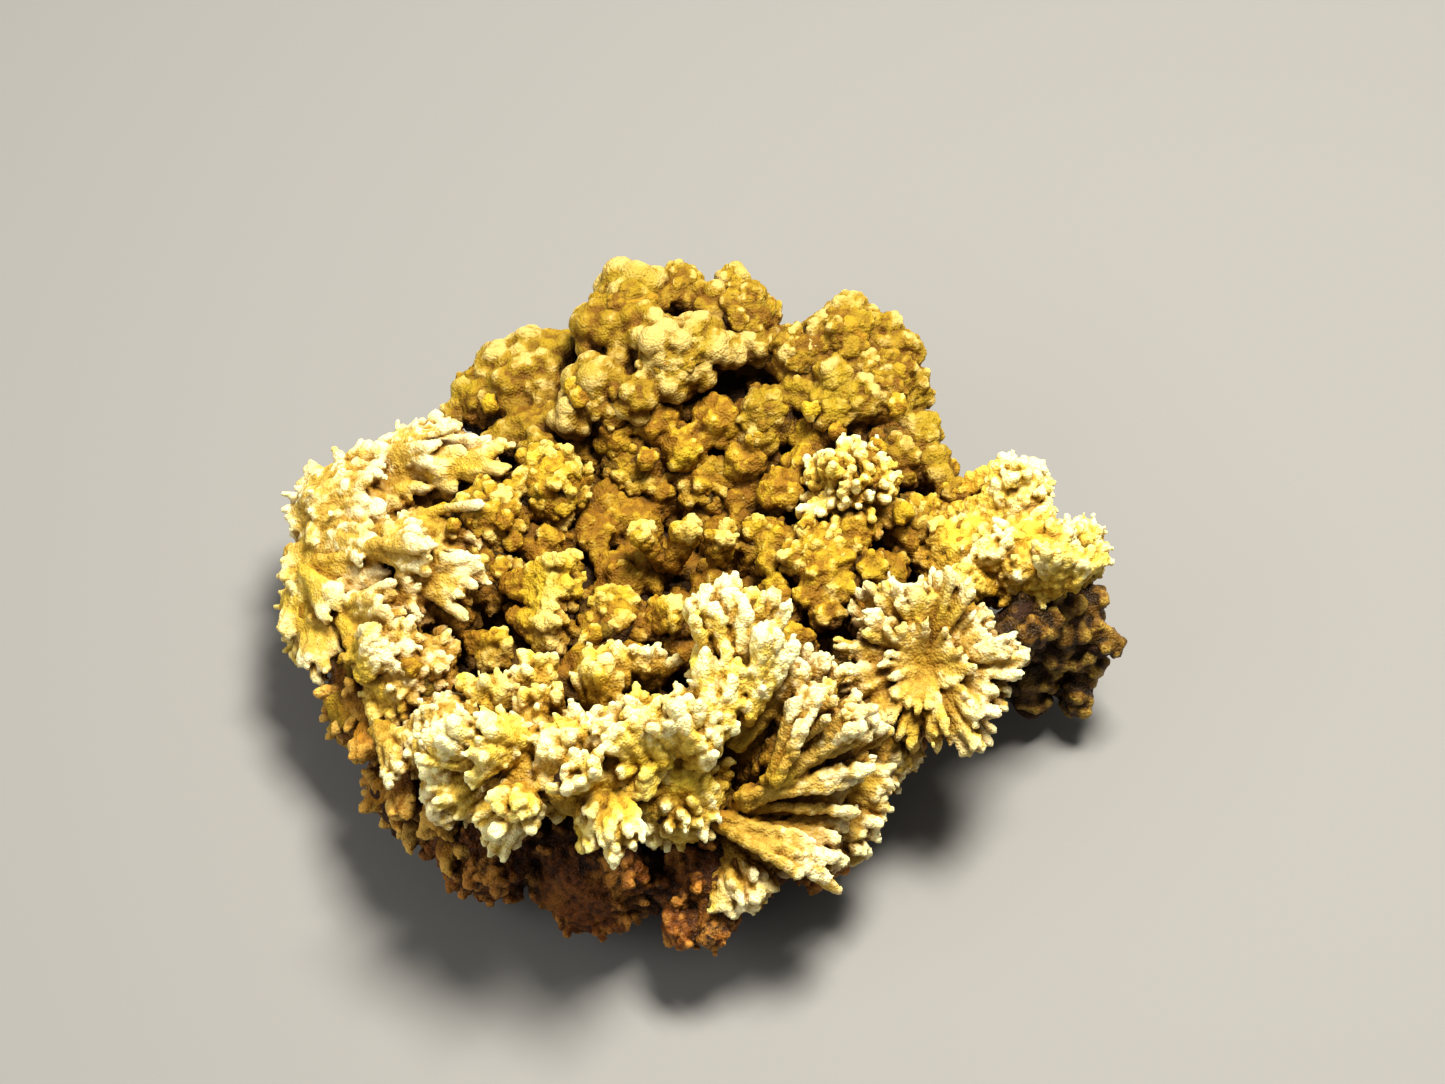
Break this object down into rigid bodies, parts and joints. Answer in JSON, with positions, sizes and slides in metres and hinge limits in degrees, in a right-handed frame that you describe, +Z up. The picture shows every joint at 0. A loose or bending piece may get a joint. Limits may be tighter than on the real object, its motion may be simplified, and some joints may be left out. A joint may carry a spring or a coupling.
{
  "type": "mimetite crystal cluster",
  "caption": "Hand specimen of yellow mimetite: radiating sprays, knobbly heads and a star of crystals grown round a hollow.",
  "frame": {"origin": "on the flat that the specimen lies on, under the middle of its body", "axes": "+Z up from the flat it lies on, +X across the display face to the lobe with the hanging knobs, +Y to the rear"},
  "size_m": [0.0558, 0.0451, 0.0219],
  "materials": {
    "mimetite": "matte"
  },
  "bodies": {
    "root": {"mimetite_cluster": "mimetite"}
  },
  "joints": []
}
